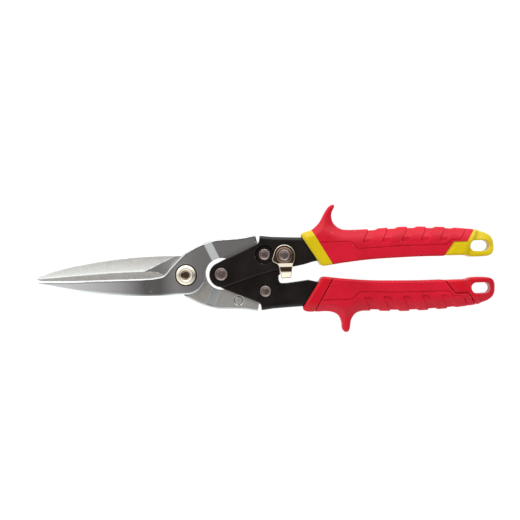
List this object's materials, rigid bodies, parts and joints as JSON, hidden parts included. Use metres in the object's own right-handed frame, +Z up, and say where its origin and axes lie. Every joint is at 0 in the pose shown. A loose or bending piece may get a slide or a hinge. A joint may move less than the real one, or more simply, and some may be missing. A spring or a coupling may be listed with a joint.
{
  "type": "aviation snips",
  "caption": "Long-cut compound-action aviation snips with pivoting jaws, nested steel handle channels, a thumb latch, a return spring and two-tone moulded grips with hand stops and hang holes.",
  "frame": {"origin": "on the main pivot axis, at the flat bottom of the pivot nut, level with the surface that the closed tool lies on", "axes": "+X from the main pivot to the handle ends along the middle line, +Y to the handle with the latch, +Z up through the bolt head"},
  "size_m": [0.3202, 0.0892, 0.0218],
  "materials": {
    "ground_steel": "fine blasted steel face with polished edge bevels",
    "polished_steel": "polished steel with fine grinding lines",
    "black_coat": "satin black oxide and lacquer",
    "nickel": "bright warm nickel plating",
    "rivet_steel": "dull peened steel",
    "spring_steel": "oiled spring steel",
    "yellow_plastic": "satin moulded plastic",
    "red_rubber": "matt soft overmould with fine grain",
    "red_plastic": "satin moulded plastic"
  },
  "bodies": {
    "upper_handle": {"upper_handle_frame": "black_coat", "upper_grip_core": "yellow_plastic", "upper_grip_cover": "red_rubber", "nose_rivet": "rivet_steel", "nose_spacer": "spring_steel", "upper_tang_rivet": "rivet_steel", "latch_rivet": "rivet_steel", "latch_washer": "spring_steel", "return_spring": "spring_steel"},
    "lower_handle": {"lower_handle_frame": "black_coat", "lower_grip_core": "red_plastic", "lower_grip_cover": "red_rubber", "lower_tang_rivet": "rivet_steel"},
    "lower_jaw": {"front_blade": "ground_steel", "pivot_bolt": "nickel", "pivot_head_washer": "black_coat", "pivot_nut_washer": "nickel", "pivot_nut": "nickel"},
    "upper_jaw": {"rear_blade": "polished_steel"},
    "latch_lever": {"latch": "nickel"}
  },
  "joints": [
    {"name": "handle_open", "type": "hinge", "parent": "upper_handle", "child": "lower_handle", "pos_m": [0.0246, 0, 0.0105], "axis": [0, 0, -1], "range_deg": [0, 28], "stiffness_Nm_per_rad": 0.6, "springref_deg": 60.16, "deforming": ["return_spring"]},
    {"name": "upper_tang_pivot", "type": "hinge", "parent": "upper_handle", "child": "lower_jaw", "pos_m": [0.0549, 0.0129, 0.0105], "axis": [0, 0, -1], "range_deg": [0, 6.61]},
    {"name": "jaw_pivot", "type": "hinge", "parent": "lower_jaw", "child": "upper_jaw", "pos_m": [0, 0, 0.0105], "axis": [0, 0, -1], "range_deg": [0, 14.78]},
    {"name": "latch_turn", "type": "hinge", "parent": "upper_handle", "child": "latch_lever", "pos_m": [0.0686, 0.012, 0.018], "axis": [0, 0, 1], "range_deg": [-4, 30]}
  ],
  "couplings": [
    {"joint": "upper_tang_pivot", "follows": "handle_open", "ratio": 0.236},
    {"joint": "jaw_pivot", "follows": "handle_open", "ratio": 0.528}
  ]
}
